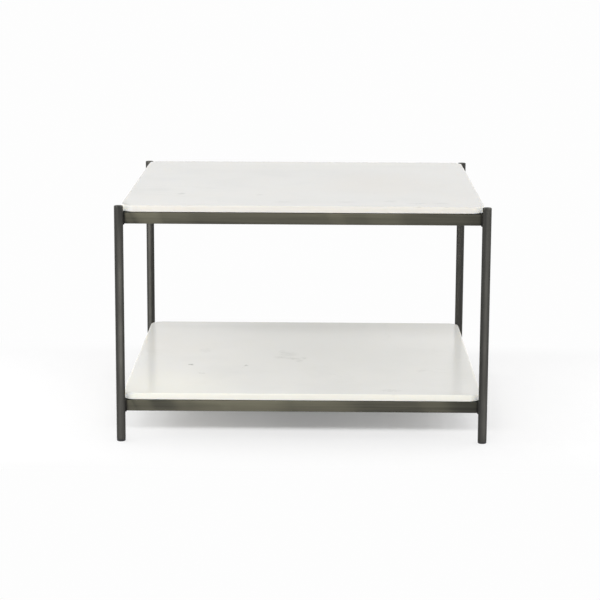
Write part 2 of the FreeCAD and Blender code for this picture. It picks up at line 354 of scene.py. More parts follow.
lens = bpy.data.cameras.new("camera")
lens.sensor_fit = "HORIZONTAL"
lens.lens = FOCAL_PIXELS / PICTURE_PIXELS * lens.sensor_width
camera = bpy.data.objects.new("camera", lens)
camera_turn = Matrix((to_right, to_top, -ahead)).transposed().to_4x4()
camera.matrix_world = Matrix.Translation(CAMERA_PLACE) @ camera_turn
bpy.context.scene.collection.objects.link(camera)
bpy.context.scene.camera = camera
bpy.context.scene.view_settings.view_transform = "Standard"
print("lens", round(lens.lens, 2), "mm")

# %% [markdown]
# ## Studio
# The table stands in a white studio with a bright backdrop and a dimmer ceiling. Walls and
# lamps could be modelled, but the world can be the whole studio: a brightness for each
# direction. Its plain white is only what the camera, a polished face or clear plastic sees. As
# a lamp, the studio is dimmer, so pale stone doesn't burn out.

# %% Studio
WHITE = colour(1, 1, 1)
BACKGROUND = 0.985
FRONT_GLOW, BACKDROP_GLOW, CEILING_GLOW = 0.40, 0.88, 0.77
# a direction's Y where the backdrop starts and is whole, and its Z for the ceiling
BACKDROP_EDGE, CEILING_EDGE = (-0.5, 0.4), (0.35, 0.85)
LOOKING_RAYS = ("Is Camera Ray", "Is Glossy Ray", "Is Transmission Ray")


def looking(tree):
    """1 for a ray that comes from the camera, a mirror or glass, and 0 for light on its way round."""
    rays = [tree.add("ShaderNodeLightPath", out=ray) for ray in LOOKING_RAYS]
    return tree.fade(rays[0] + rays[1] + rays[2], 0.0, 1.0)


world = bpy.data.worlds.new("studio")
bpy.context.scene.world = world
tree = Tree(world)
toward = tree.add("ShaderNodeTexCoord", out="Generated")
to_back, to_sky = (tree.add("ShaderNodeSeparateXYZ", None, {"Vector": toward}, out=axis) for axis in "YZ")
wall = FRONT_GLOW + (BACKDROP_GLOW - FRONT_GLOW) * tree.fade(to_back, *BACKDROP_EDGE)
lamp = wall + (CEILING_GLOW - wall) * tree.fade(to_sky, *CEILING_EDGE)
glow = lamp + (BACKGROUND - lamp) * looking(tree)
backdrop = tree.add("ShaderNodeBackground", None, {"Color": WHITE, "Strength": glow})
tree.add("ShaderNodeOutputWorld", None, {"Surface": backdrop})
print(world.name, len(world.node_tree.nodes), "nodes")

# %% [markdown]
# ## Floor
# The floor is pale and really lit, so it keeps the table's shadow. A veil of the studio's white
# lies over it: thin under the table, thicker a step away from it, and farther off it is all
# that shows, so floor and backdrop meet without a line. The veil is a mask by distance, which
# only looking rays meet. A large plain sheet is enough for the mesh.

# %% Floor
FLOOR_PALE = colour(0.95, 0.95, 0.955)
FLOOR_HALF = 8.0
VEIL_NEAR, VEIL_AWAY = 0.175, 0.68
# where the step away starts, how long it is along X and Y, and the steps over which only white is left
# painted shadow edge: the short step along Y gives the shelf's shadow on the floor its sharp front edge
VEIL_START, VEIL_STEP, VEIL_WHOLE = (0.20, 0.222, 0.0), (0.32, 0.05, 1.0), (3.6, 6.8)

floor_mesh = bpy.data.meshes.new("floor")
floor_mesh.from_pydata([(-FLOOR_HALF, -FLOOR_HALF, 0), (FLOOR_HALF, -FLOOR_HALF, 0),
                        (FLOOR_HALF, FLOOR_HALF, 0), (-FLOOR_HALF, FLOOR_HALF, 0)], [], [(0, 1, 2, 3)])
floor = bpy.data.objects.new("floor", floor_mesh)
bpy.context.scene.collection.objects.link(floor)
paint = bpy.data.materials.new("white_floor")
tree = Tree(paint)
lit = tree.add("ShaderNodeBsdfDiffuse", None, {"Color": FLOOR_PALE})
plain = tree.add("ShaderNodeEmission", None, {"Color": WHITE, "Strength": BACKGROUND})
past_start = tree.vector("SUBTRACT", tree.vector("ABSOLUTE", tree.place()), VEIL_START)
in_steps = tree.vector("DIVIDE", tree.vector("MAXIMUM", past_start, (0, 0, 0)), VEIL_STEP)
steps_away = tree.vector("LENGTH", in_steps, out="Value")
veil = (VEIL_NEAR + (VEIL_AWAY - VEIL_NEAR) * tree.fade(steps_away, 0.0, 1.0)
        + (1 - VEIL_AWAY) * tree.fade(steps_away, *VEIL_WHOLE))
veiled = tree.add("ShaderNodeMixShader", None, {
    "Fac": veil * looking(tree), "Shader": lit, "Shader_001": plain})
tree.add("ShaderNodeOutputMaterial", None, {"Surface": veiled})
floor_mesh.materials.append(paint)
print(floor.name, 2 * FLOOR_HALF, "m across")

# %% [markdown]
# ## Soft boxes
# A wide soft box, high in front, throws the shelf's shadow backwards, and a low white board on
# each side fills in the shelf under the top. The boards would show in the polished stone as two
# bright patches, so mirrors leave them out. A face that sends its light out evenly needs pi
# times its area in watts to be as bright as white paper.

# %% Soft boxes
# place, aim, width, height, brightness, and whether it shows in mirrors
SOFT_BOXES = {
    "front_box": ((-0.6, -5.6, 3.40), (0, 0, 0.2), 4.4, 0.6, 16.0, True),
    "left_board": ((-1.05, -0.38, 0.42), (0, -0.25, 0.1), 1.3, 0.55, 1.9, False),
    "right_board": ((1.05, -0.28, 0.42), (0, -0.2, 0.1), 1.3, 0.55, 1.2, False),
}


def soft_box(name, place, aim, width, height, brightness, mirrored):
    """An area light whose face is brightness times as bright as white paper, shown in mirrors or not."""
    lamp = bpy.data.lights.new(name, "AREA")
    lamp.shape = "RECTANGLE"
    lamp.size, lamp.size_y = width, height
    lamp.energy = brightness * math.pi * width * height
    box = bpy.data.objects.new(name, lamp)
    facing = (Vector(aim) - Vector(place)).to_track_quat("-Z", "Y")
    box.matrix_world = Matrix.Translation(place) @ facing.to_matrix().to_4x4()
    box.visible_camera, box.visible_glossy = False, mirrored
    bpy.context.scene.collection.objects.link(box)
    print(name, round(lamp.energy, 1), "W")


for name, setting in SOFT_BOXES.items():
    soft_box(name, *setting)

# %% [markdown]
# ## Marks in the stone
# The slabs are a white stone with soft grey and cream clouds and the odd grey fleck. Noise can
# strew such marks anywhere, but the larger ones should lie where the photograph shows them, so
# they are listed one by one, with a worn corner at the front left of the top among them.

# %% Marks in the stone
STONE_WHITE = colour(0.803, 0.797, 0.768)
STONE_GREY_AND_SHADE = colour(0.738, 0.737, 0.712)
STONE_CREAM = colour(0.790, 0.764, 0.712)
# the pale tint is a cloud, and also painted light on the shelf; the bright one is painted light on the
# rounded corners
STONE_PALE_AND_LIT = colour(0.862, 0.850, 0.785)
STONE_LIT_CORNER = colour(0.945, 0.935, 0.875)
STONE_VEIN_AND_SHADE = colour(0.56, 0.56, 0.53)
STONE_FLECK = colour(0.32, 0.33, 0.30)
# clouds, smears and flecks, and painted light and shade on the shelf: the tint, the middle, the
# reach along X and Y, and the strength
STONE_MARKS = (
    (STONE_CREAM, (0.150, -0.010, 0.457), (0.170, 0.270), 0.70),
    (STONE_PALE_AND_LIT, (0.040, 0.330, 0.457), (0.480, 0.190), 0.40),
    (STONE_GREY_AND_SHADE, (-0.290, -0.125, 0.457), (0.050, 0.040), 0.70),
    (STONE_FLECK, (-0.340, -0.331, 0.457), (0.016, 0.016), 0.55),
    (STONE_VEIN_AND_SHADE, (-0.345, -0.315, 0.457), (0.024, 0.060), 0.40),
    (STONE_FLECK, (-0.238, -0.181, 0.457), (0.011, 0.018), 0.28),
    (STONE_FLECK, (-0.084, -0.192, 0.457), (0.010, 0.014), 0.14),
    (STONE_FLECK, (-0.038, -0.290, 0.457), (0.024, 0.016), 0.10),
    (STONE_FLECK, (0.086, -0.285, 0.457), (0.026, 0.016), 0.12),
    (STONE_FLECK, (0.168, -0.272, 0.457), (0.018, 0.014), 0.12),
    (STONE_FLECK, (0.219, -0.300, 0.457), (0.030, 0.016), 0.18),
    (STONE_FLECK, (0.262, -0.296, 0.457), (0.024, 0.012), 0.14),
    # painted shade: this row makes the shelf's middle and back greyer, under the top
    (STONE_GREY_AND_SHADE, (0.020, 0.120, 0.0935), (0.260, 0.380), 0.90),
    (STONE_GREY_AND_SHADE, (0.200, -0.020, 0.0935), (0.200, 0.220), 0.50),
    # painted shade along the shelf's back edge
    (STONE_VEIN_AND_SHADE, (0.000, 0.310, 0.0935), (0.290, 0.110), 0.30),
    # painted light: the shelf's front left made paler
    (STONE_PALE_AND_LIT, (-0.270, -0.290, 0.0935), (0.190, 0.200), 0.90),
    (STONE_FLECK, (-0.046, -0.023, 0.0935), (0.020, 0.018), 0.18),
    (STONE_FLECK, (-0.022, -0.032, 0.0935), (0.022, 0.016), 0.18),
    (STONE_FLECK, (-0.008, -0.051, 0.0935), (0.011, 0.020), 0.16),
    (STONE_FLECK, (0.003, -0.027, 0.0935), (0.011, 0.018), 0.16),
    (STONE_FLECK, (-0.030, 0.010, 0.0935), (0.028, 0.034), 0.13),
    (STONE_FLECK, (-0.044, 0.031, 0.0935), (0.010, 0.030), 0.10),
    (STONE_FLECK, (-0.228, -0.094, 0.0935), (0.007, 0.009), 0.75),
    (STONE_FLECK, (-0.115, -0.100, 0.0935), (0.006, 0.008), 0.75),
    (STONE_FLECK, (-0.201, -0.171, 0.0935), (0.010, 0.010), 0.24),
    (STONE_FLECK, (-0.205, 0.040, 0.0935), (0.020, 0.030), 0.09),
    (STONE_FLECK, (0.240, -0.137, 0.0935), (0.014, 0.018), 0.10),
    (STONE_FLECK, (0.171, -0.310, 0.0935), (0.030, 0.014), 0.14),
)
MARK_CORE = 0.1    # the share of a mark's reach that has its full strength
MARK_WANDER = 0.02    # how far the outline of a mark may stray


def placed_marks(tree, spot, tint):
    """The tint with each placed mark mixed in: a mask by distance, measured in reaches, from its middle.

    The coordinates wander a little, so that outlines are ragged, and flecks are mottled.
    """
    wander = tree.noise(spot, 38.0, roughness=0.5, out="Color")
    wander = tree.vector("MULTIPLY_ADD", wander, (MARK_WANDER, MARK_WANDER, 0.0),
                         (-MARK_WANDER / 2, -MARK_WANDER / 2, 0.0))
    astray = tree.vector("ADD", spot, wander)
    mottling = 0.4 + 1.2 * tree.fade(tree.noise(spot, 160.0), 0.35, 0.65)
    for shade, (x, y, z), (reach_x, reach_y), strength in STONE_MARKS:
        shrink = (1 / reach_x, 1 / reach_y, 1 / reach_x)
        middle = (x * shrink[0], y * shrink[1], z * shrink[2])
        away = tree.vector("DISTANCE", tree.vector("MULTIPLY", astray, shrink), middle, out="Value")
        strength = strength * mottling if shade is STONE_FLECK else strength
        tint = tree.mixed(strength * (1 - tree.fade(away, MARK_CORE, 1.0)), tint, shade)
    return tint


print(len(STONE_MARKS), "marks placed by hand")

# %% [markdown]
# ## Polished stone
# Broad noise makes the clouds, and a hair-thin vein is where a finer noise crosses one half.
# The sawn edges of the top are creamier than its faces. Painted light makes the shelf's edges
# paler and the rounded corners the brightest, against the shade that the legs cast beside the
# corners. The polish is a satin one, and its index of refraction is set low, so that the legs
# show in it only as faint soft bands.

# %% Polished stone
def polished_stone():
    """White stone: clouds, veins, flecks and placed marks, under a satin polish."""
    tree = Tree(bpy.data.materials.new("polished_stone"))
    spot = tree.place()
    clouds = tree.fade(tree.noise(spot, 2.3, roughness=0.5, distortion=0.3), 0.36, 0.68)
    cream_spot = tree.place(shift=(4.1, 0.7, 2.3))
    cream = tree.fade(tree.noise(cream_spot, 2.6, roughness=0.5, distortion=0.3), 0.46, 0.74)
    mottle = tree.noise(spot, 9.0, detail=4.0, distortion=0.3)
    tint = tree.mixed(0.45 * clouds + 0.35 * tree.fade(mottle, 0.42, 0.72), STONE_WHITE, STONE_GREY_AND_SHADE)
    tint = tree.mixed(0.45 * cream, tint, STONE_CREAM)
    vein_spot = tree.place(shift=(1.3, 5.2, 0.4))
    crack = abs(tree.noise(vein_spot, 3.4, detail=7.0, roughness=0.62, distortion=1.1) - 0.5)
    veins = (1 - tree.fade(crack, 0.0, 0.014)) * tree.fade(tree.noise(spot, 6.0, detail=2.0), 0.50, 0.66)
    tint = tree.mixed(0.14 * veins, tint, STONE_VEIN_AND_SHADE)
    cell = tree.add("ShaderNodeTexVoronoi", None, {"Vector": spot, "Scale": 46.0})
    rare = tree.fade(tree.noise(spot, 15.0, detail=1.0), 0.64, 0.72)
    flecks = (1 - tree.fade(cell, 0.05, 0.13)) * rare
    tint = tree.mixed(0.22 * flecks, tint, STONE_FLECK)
    tint = placed_marks(tree, spot, tint)
    chipped = tree.mark("chip")
    grain = tree.noise(spot, 900.0, detail=2.0)
    tint = tree.mixed(0.75 * tree.mark("cream"), tint, STONE_CREAM)
    # painted light: the shelf's edges are made paler, and the rounded corners brighter where the legs shade
    # them
    tint = tree.mixed(tree.mark("pale"), tint, STONE_PALE_AND_LIT)
    tint = tree.mixed(tree.mark("bright"), tint, STONE_LIT_CORNER)
    tint = tree.mixed(0.5 * chipped, tint, STONE_VEIN_AND_SHADE)
    height = 0.25 * tree.noise(spot, 60.0, detail=2.0) + 0.3 * grain + 0.6 * chipped * grain
    return tree.finish(
        Base_Color=tint,
        Roughness=0.14 + 0.04 * clouds + 0.04 * grain - 0.08 * tree.mark("edge") + 0.3 * chipped,
        IOR=1.13,
        Subsurface_Weight=0.8,
        Subsurface_Radius=(1.0, 0.95, 0.85),
        Subsurface_Scale=0.006,
        Normal=tree.bump(height, 0.00001),
    )


stone = polished_stone()
print(stone.name, len(stone.node_tree.nodes), "nodes")

# %% [markdown]
# ## Patinated iron
# The bars are mild steel with a dark gunmetal patina, brushed along their length. The patina
# is thin: it shows long streaks, paler patches where it was rubbed back, olive on the rails and
# grey on the legs, and a brighter line on the arrises. The paler stripes that face the front
# of the legs are partly painted highlight, the line on the arrises is partly wear and partly
# painted highlight, and painted shade darkens the rails by the welds and near their ends.
# Stretching the coordinates along a bar turns plain noise into streaks, so each direction of
# bar has its own version of the finish.

# %% Patinated iron
IRON_SHADE = colour(0.016, 0.016, 0.015)
IRON_DARK = colour(0.043, 0.042, 0.034)
IRON_MID = colour(0.090, 0.086, 0.067)
IRON_OLIVE = colour(0.157, 0.150, 0.109)
LEG_DARK = colour(0.034, 0.034, 0.032)
LEG_MID = colour(0.066, 0.064, 0.058)
LEG_RUB_AND_SHEEN = colour(0.150, 0.145, 0.130)
IRON_ARRIS_GLINT = colour(0.20, 0.195, 0.175)
STREAK_STRETCH = {"x": (0.02, 1, 1), "y": (1, 0.02, 1), "z": (1, 1, 0.02)}
PATCH_STRETCH = {"x": (0.22, 1, 1), "y": (1, 0.22, 1), "z": (1, 1, 0.22)}


def patinated_iron(name, along, dark, middling, rubbed):
    """Dark iron: streaks and patches drawn out along the bar, rubbed back to a paler tint that is partly
    painted highlight, with painted shade from the marks.
    """
    tree = Tree(bpy.data.materials.new(name))
    streaks = tree.noise(tree.place(scale=STREAK_STRETCH[along]), 420.0, roughness=0.6)
    bands = tree.noise(tree.place(scale=STREAK_STRETCH[along], shift=(3.1, 1.7, 0.9)), 130.0, roughness=0.6)
    patch_spot = tree.place(scale=PATCH_STRETCH[along])
    patches = tree.noise(patch_spot, 30.0, detail=4.0, roughness=0.6, distortion=0.4)
    scuffs = tree.noise(tree.place(), 260.0, detail=4.0, roughness=0.65)
    tint = tree.mixed(tree.fade(bands, 0.25, 0.75), dark, middling)
    tint = tree.mixed(tree.mark("rub") * (patches + 0.8 * streaks + 0.1), tint, rubbed)
    tint = tree.mixed(0.18 * tree.fade(streaks, 0.52, 0.75), tint, rubbed)
    tint = tree.mixed(0.15 * tree.fade(patches, 0.56, 0.74), tint, dark)
    # the arris line: partly wear, partly painted highlight
    arris = tree.mark("arris") * tree.fade(bands + scuffs, 0.86, 1.16)
    tint = tree.mixed(0.6 * arris, tint, IRON_ARRIS_GLINT)
    # painted shade, from the rails' marks
    tint = tree.mixed(tree.mark("soot"), tint, IRON_SHADE)
    return tree.finish(
        Base_Color=tint,
        Metallic=0.45,
        Roughness=0.44 + 0.16 * patches + 0.10 * streaks - 0.10 * arris,
        Specular_Tint=colour(0.45, 0.45, 0.43),
        Specular_IOR_Level=0.35,
        Normal=tree.bump(0.6 * streaks + 0.4 * scuffs, 0.00006),
    )


iron_across = patinated_iron("iron_across", "x", IRON_DARK, IRON_MID, IRON_OLIVE)
iron_deep = patinated_iron("iron_deep", "y", IRON_DARK, IRON_MID, IRON_OLIVE)
iron_upright = patinated_iron("iron_upright", "z", LEG_DARK, LEG_MID, LEG_RUB_AND_SHEEN)
print([finish.name for finish in (iron_across, iron_deep, iron_upright)])

# %% [markdown]
# ## Weld metal
# A weld is iron that froze in ripples. It is darker and rougher than the bars; its near black is
# partly scale and soot and partly painted shade, for the recess that it fills. Its ripples are in
# the mesh below, so the finish only adds scale and soot, as two noises of different size.

# %% Weld metal
WELD_BLACK, WELD_BROWN = colour(0.012, 0.012, 0.012), colour(0.040, 0.037, 0.032)


def weld_metal():
    """Dark scaly iron, its near black partly painted shade."""
    tree = Tree(bpy.data.materials.new("weld_metal"))
    scale = tree.noise(tree.place(), 700.0, detail=4.0, roughness=0.6)
    soot = tree.noise(tree.place(), 160.0)
    return tree.finish(
        Base_Color=tree.mixed(tree.fade(soot, 0.35, 0.7), WELD_BLACK, WELD_BROWN),
        Metallic=0.4,
        Roughness=0.5 + 0.25 * scale,
        Specular_Tint=colour(0.4, 0.4, 0.4),
        Specular_IOR_Level=0.3,
        Normal=tree.bump(scale, 0.0002),
    )


weld = weld_metal()
print(weld.name, len(weld.node_tree.nodes), "nodes")

# %% [markdown]
# ## Small finishes
# The feet are black nylon glides on zinc-plated studs, and the slabs lie on clear soft
# bumpers. None of these is a flat colour on the real thing: nylon is scuffed where it slides,
# zinc has a faint spangle, and a bumper lets light through.

# %% Small finishes
NYLON_BLACK, NYLON_SCUFF = colour(0.020, 0.020, 0.021), colour(0.055, 0.055, 0.055)
ZINC_GREY, ZINC_STAIN = colour(0.56, 0.57, 0.58), colour(0.50, 0.47, 0.38)
BUMPER_CLEAR, BUMPER_HAZE = colour(0.86, 0.86, 0.84), colour(0.92, 0.92, 0.91)


def black_nylon():
    """Black plastic with scuffs that are paler and rougher."""
    tree = Tree(bpy.data.materials.new("black_nylon"))
    scuffs = tree.fade(tree.noise(tree.place(scale=(1, 1, 3)), 420.0, detail=5.0, roughness=0.7), 0.5, 0.75)
    return tree.finish(
        Base_Color=tree.mixed(scuffs, NYLON_BLACK, NYLON_SCUFF),
        Roughness=0.42 + 0.3 * scuffs,
        Normal=tree.bump(tree.noise(tree.place(), 1500.0, detail=2.0), 0.00003),
    )


def zinc_plate():
    """Plated steel: a grey-white metal with spangle and a faint yellow stain."""
    tree = Tree(bpy.data.materials.new("zinc_plate"))
    spangle = tree.add("ShaderNodeTexVoronoi", None, {"Vector": tree.place(), "Scale": 1400.0})
    stain = tree.fade(tree.noise(tree.place(), 240.0, detail=4.0), 0.45, 0.7)
    return tree.finish(
        Base_Color=tree.mixed(0.5 * stain, ZINC_GREY, ZINC_STAIN),
        Metallic=1.0,
        Roughness=0.26 + 0.2 * spangle + 0.15 * stain,
        Normal=tree.bump(spangle, 0.00001),
    )


def clear_bumper():
    """Clear soft plastic with a slightly hazy skin."""
    tree = Tree(bpy.data.materials.new("clear_bumper"))
    haze = tree.noise(tree.place(), 600.0)
    return tree.finish(
        Base_Color=tree.mixed(haze, BUMPER_CLEAR, BUMPER_HAZE),
        Roughness=0.12 + 0.2 * haze,
        IOR=1.48,
        Transmission_Weight=0.7,
    )


nylon, zinc, bumper = black_nylon(), zinc_plate(), clear_bumper()
print([finish.name for finish in (nylon, zinc, bumper)])

# %% [markdown]
# ## Dressing a node
# A finished surface takes its material, rides on the body that its node belongs to and hides
# that node.

# %% Dressing a node
def dress(piece, node, material):
    """Give a surface its finish and let it stand for a node of the frame."""
    piece.data.materials.append(material)
    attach(piece, frame["nodes"][node]["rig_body"])
    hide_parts(node)
    print(piece.name, "stands for", node, "with", len(piece.data.polygons), "faces")


print(len(frame["nodes"]), "nodes to dress")

# %% [markdown]
# ## The outline of a slab
# A slab is cut to a square with round corners. In plan it is a core rectangle plus a direction:
# on a side the core moves and the direction stands still, and on a corner it is the other way
# round. Drawing that outline in by an inset then gives every ring of the surface.

# %% The outline of a slab
ARC_POINTS, SIDE_POINTS = 22, 420


def rounded_outline(half, radius):
    """Core points and outward directions of a rounded rectangle, anticlockwise from its front right corner.

    Each quarter is an arc, where the direction turns a right angle over one corner of the core, then a
    side, where the core runs to its next corner.
    """
    corner = np.array([(1, -1), (1, 1), (-1, 1), (-1, -1)]) * (half - radius)
    turn = np.concatenate([np.linspace(0, 1, ARC_POINTS), np.ones(SIDE_POINTS)])
    run = np.concatenate([np.zeros(ARC_POINTS), np.arange(1, SIDE_POINTS + 1) / (SIDE_POINTS + 1)])
    angle = np.radians([-90, 0, 90, 180])[:, None] + turn * np.pi / 2
    core = corner[:, None] + (np.roll(corner, -1, axis=0) - corner)[:, None] * run[:, None]
    return core.reshape(-1, 2), np.stack([np.cos(angle), np.sin(angle)], axis=-1).reshape(-1, 2)


print(4 * (ARC_POINTS + SIDE_POINTS), "points round a slab")

# %% [markdown]
# ## Chips
# Stone breaks out here and there along an upper arris. A chip could be cut with a small ball;
# here it is a bell-shaped dip, worked out for the whole rim at once. Those on the front lie
# where the photograph shows them, and chance, with a fixed seed, strews the rest.

# %% Chips
# chips on the front: distance along X, width and depth
FRONT_CHIPS = {
    "top": ((-0.327, 0.004, 0.0007), (0.219, 0.005, 0.0008),
            (0.271, 0.004, 0.0006), (0.315, 0.003, 0.0005)),
    "shelf": ((-0.140, 0.003, 0.0005), (0.176, 0.005, 0.0006)),
}
STRAY_CHIPS, STRAY_WIDTHS, STRAY_DEPTHS = 16, (0.001, 0.004), (0.0002, 0.0006)


def chip_depths(tier, rim, seed):
    """How deep the upper arris is broken at each point of the rim: a bell round each chip's middle."""
    chance = np.random.default_rng(seed)
    front = [((x, rim[:, 1].min()), width, depth) for x, width, depth in FRONT_CHIPS[tier]]
    stray = [(rim[spot], width, depth) for spot, width, depth in zip(
        chance.integers(0, len(rim), STRAY_CHIPS), chance.uniform(*STRAY_WIDTHS, STRAY_CHIPS),
        chance.uniform(*STRAY_DEPTHS, STRAY_CHIPS))]
    middle, width, depth = (np.array(item) for item in zip(*front, *stray))
    away = np.linalg.norm(rim[:, None] - middle, axis=-1)
    return np.max(depth * np.exp(-(away / width) ** 2), axis=1)


print({tier: len(chips) + STRAY_CHIPS for tier, chips in FRONT_CHIPS.items()}, "chips")

# %% [markdown]
# ## Slabs
# A slab is a sawn sheet, its arrises eased with a pad and its faces polished. Its rings run from
# the middle of the underside, round both arrises, to the middle of the top: each has an inset,
# a height and a share of the way out from the middle. A hand pad leaves an arris a little
# uneven, so it waves, and chips dip into the upper one. The surface also carries marks for its
# finish, which say where it is chipped or sawn, and where painted light makes the shelf's edges
# paler and the rounded corners brighter.

# %% Slabs
FACE_INSETS = np.array([0.012, 0.012, 0.0055, 0.0024])
FACE_SHARES = np.array([0.3, 1.0, 1.0, 1.0])
LOWER_ARC, EDGE_ROWS, UPPER_ARC = 7, 7, 11
ARRIS_WAVE, LONG_WAVE, SHORT_WAVE = 0.00012, 0.12, 0.006
CHIP_SHOWS = 0.0006    # the depth from which a chip shows its full tint
# painted light: the rounded corners are tinted brighter, against the shade of the legs beside them
LIT_CORNER_BAND = SLAB_ARRIS / 8    # the inset within which a rounded corner is bright
# how far the sawn edges are smoothed, how much cream tint they show, and how much painted light
# makes them paler
EDGE_TINTS = {
    "top": {"edge": 1.0, "cream": 1.0},
    "shelf": {"edge": 1.0, "cream": 0.2, "pale": 0.9},
}


def make_slab(tier, seed):
    """Rings of the outline, drawn in by each inset, less the waves and chips across the arrises."""
    node = f"{tier}_slab"
    low, high = span(node)
    core, direction = rounded_outline((high - low)[:2] / 2, SLAB_CORNER_RADIUS)
    rim = core + direction * SLAB_CORNER_RADIUS
    along = np.cumsum(np.linalg.norm(np.diff(rim, axis=0, prepend=rim[:1]), axis=1))
    lower, upper = np.radians(np.linspace(-90, 0, LOWER_ARC)), np.radians(np.linspace(0, 90, UPPER_ARC))
    middle = np.linspace(low[2] + SLAB_ARRIS, high[2] - SLAB_ARRIS, EDGE_ROWS)[1:-1]
    face = np.zeros(len(FACE_INSETS))
    inset = np.concatenate([FACE_INSETS, SLAB_ARRIS * (1 - np.cos(lower)), np.zeros(len(middle)),
                            SLAB_ARRIS * (1 - np.cos(upper)), FACE_INSETS[::-1]])
    share = np.concatenate([FACE_SHARES, np.ones(len(lower) + len(middle) + len(upper)), FACE_SHARES[::-1]])
    height = np.concatenate([face + low[2], low[2] + SLAB_ARRIS * (1 + np.sin(lower)), middle,
                             high[2] - SLAB_ARRIS * (1 - np.sin(upper)), face + high[2]])
    bend = np.concatenate([face, np.sin(-2 * lower), np.zeros(len(middle)), np.sin(2 * upper), face])
    is_upper = height > middle.mean()
    chips = chip_depths(tier, rim, seed)
    wave = ARRIS_WAVE * (1 + ripple(along, seed, LONG_WAVE, SHORT_WAVE)) / 2
    broken = bend[:, None] * (wave + is_upper[:, None] * chips)
    plan = share[:, None, None] * (core + direction * (SLAB_CORNER_RADIUS - inset)[:, None, None])
    plan -= direction * broken[..., None] / math.sqrt(2)
    rise = height[:, None] + np.where(is_upper, -1, 1)[:, None] * broken / math.sqrt(2)
    marks = {"chip": np.clip(bend[:, None] * is_upper[:, None] * chips / CHIP_SHOWS, 0, 1)}
    for tint, amount in EDGE_TINTS[tier].items():
        marks[tint] = amount * (inset < SLAB_ARRIS)[:, None]
    rounding = np.abs(direction[:, 0] * direction[:, 1]) * 2
    # painted light on the rounded corners, where the legs shade them
    marks["bright"] = rounding * (inset < LIT_CORNER_BAND)[:, None]
    piece = skin(f"stone_{tier}", np.concatenate([plan, rise[..., None]], axis=-1), marks=marks)
    dress(piece, node, stone)


for seed, tier in enumerate(TIERS, start=11):
    make_slab(tier, seed)

# %% [markdown]
# ## Legs
# Each leg is a round bar, sawn off, chamfered at the top and drilled and tapped below. It is a
# lathe profile that starts at the end of the bore, comes down it, runs out to the side and
# climbs to the top. A drawn bar is never quite true, so the radius waves by about a twentieth
# of a millimetre along and around it, always inwards. The patina is rubbed back in long stripes,
# each a soft mask of the angle round the bar and the height. The stripes that face the front
# are partly painted highlight: they also stand in for the lamps' reflections down the bar.

# %% Legs
LEG_AROUND, LEG_ROWS = 56, 180
LEG_WAVE = 0.00006
FOOT_EASE, HEAD_EASE = 0.0002, 0.0004
# rubbed stripes that face the front, partly painted highlight:
# angle and reach in degrees, height and reach in metres, strength
FRONT_SHEEN_STRIPES = {
    "front_left": ((-75, 24, 0.24, 0.16, 0.80), (-85, 30, 0.03, 0.09, 0.30)),
    "front_right": ((-84, 26, 0.26, 0.22, 0.45), (-78, 30, 0.03, 0.09, 0.45)),
    "back_left": ((-99, 22, 0.24, 0.30, 0.85),),
    "back_right": ((-118, 24, 0.24, 0.25, 0.35),),
}
# how many face the back, and the least and the most that chance may give them
STRAY_STRIPES = 5
STRAY_LEAST, STRAY_MOST = (20, 18, 0.05, 0.10, 0.3), (160, 30, 0.42, 0.25, 0.8)


def leg_rub(corner, angle, height, seed):
    """How far the patina is rubbed back, with painted highlight in the stripes that face the front: the
    strongest stripe at each point, waving along the bar.
    """
    chance = np.random.default_rng(seed + 80)
    stray = chance.uniform(STRAY_LEAST, STRAY_MOST, (STRAY_STRIPES, len(STRAY_LEAST)))
    stripes = np.concatenate([FRONT_SHEEN_STRIPES[corner], stray])[:, :, None, None]
    facing, width, middle, reach, strength = np.moveaxis(stripes, 1, 0)
    around = (np.degrees(angle) - facing + 180) % 360 - 180
    upward = height - middle
    rub = np.max(strength * np.exp(-(around / width) ** 2 - (upward / reach) ** 4), axis=0)
    return np.clip(rub * (1 + 0.5 * ripple(height, seed + 90, 0.2, 0.03)), 0, 1)


def make_leg(corner, seed):
    """A lathe profile whose radius dips by two slow lobes round the bar and a ripple along it."""
    node = f"leg_{corner}"
    low, high = span(node)
    foot = [(BORE_RADIUS, low[2] + BORE_DEPTH), (BORE_RADIUS, low[2] + LEG_CHAMFER),
            (BORE_RADIUS + LEG_CHAMFER, low[2]), (leg_radius - LEG_CHAMFER / 2, low[2]),
            (leg_radius, low[2] + LEG_CHAMFER / 2)]
    head = [(leg_radius, high[2] - LEG_CHAMFER), (leg_radius - LEG_CHAMFER, high[2]),
            (leg_radius - 3 * LEG_CHAMFER, high[2])]
    climb = np.linspace(foot[-1][1], head[0][1], LEG_ROWS)[1:-1]
    shaft = np.stack([np.full(LEG_ROWS - 2, leg_radius), climb], axis=1)
    profile = np.concatenate([eased(foot, FOOT_EASE), shaft, eased(head, HEAD_EASE)])
    rings = lathe(*profile.T, LEG_AROUND)
    angle = np.arctan2(rings[..., 1], rings[..., 0])
    on_side = (profile[:, 0] > leg_radius - LEG_CHAMFER / 2)[:, None]
    lobes = np.sin(2 * angle + 9 * ripple(rings[..., 2], seed + 40, 0.9, 0.3, 3))
    dip = LEG_WAVE * (3 + ripple(rings[..., 2], seed, 0.2, 0.01) + lobes) / 4
    rings[..., :2] *= 1 - (dip * on_side / leg_radius)[..., None]
    rings[..., :2] += leg_spot * CORNERS[corner]
    # a paler line on the top chamfer: partly wear, partly painted highlight
    worn_and_glint = np.exp(-((profile[:, 1] - high[2] + LEG_CHAMFER / 2) / LEG_CHAMFER) ** 2)[:, None]
    marks = {"rub": leg_rub(corner, angle, rings[..., 2], seed), "arris": worn_and_glint}
    dress(skin(f"round_leg_{corner}", rings, marks=marks), node, iron_upright)


for seed, corner in enumerate(CORNERS, start=21):
    make_leg(corner, seed)

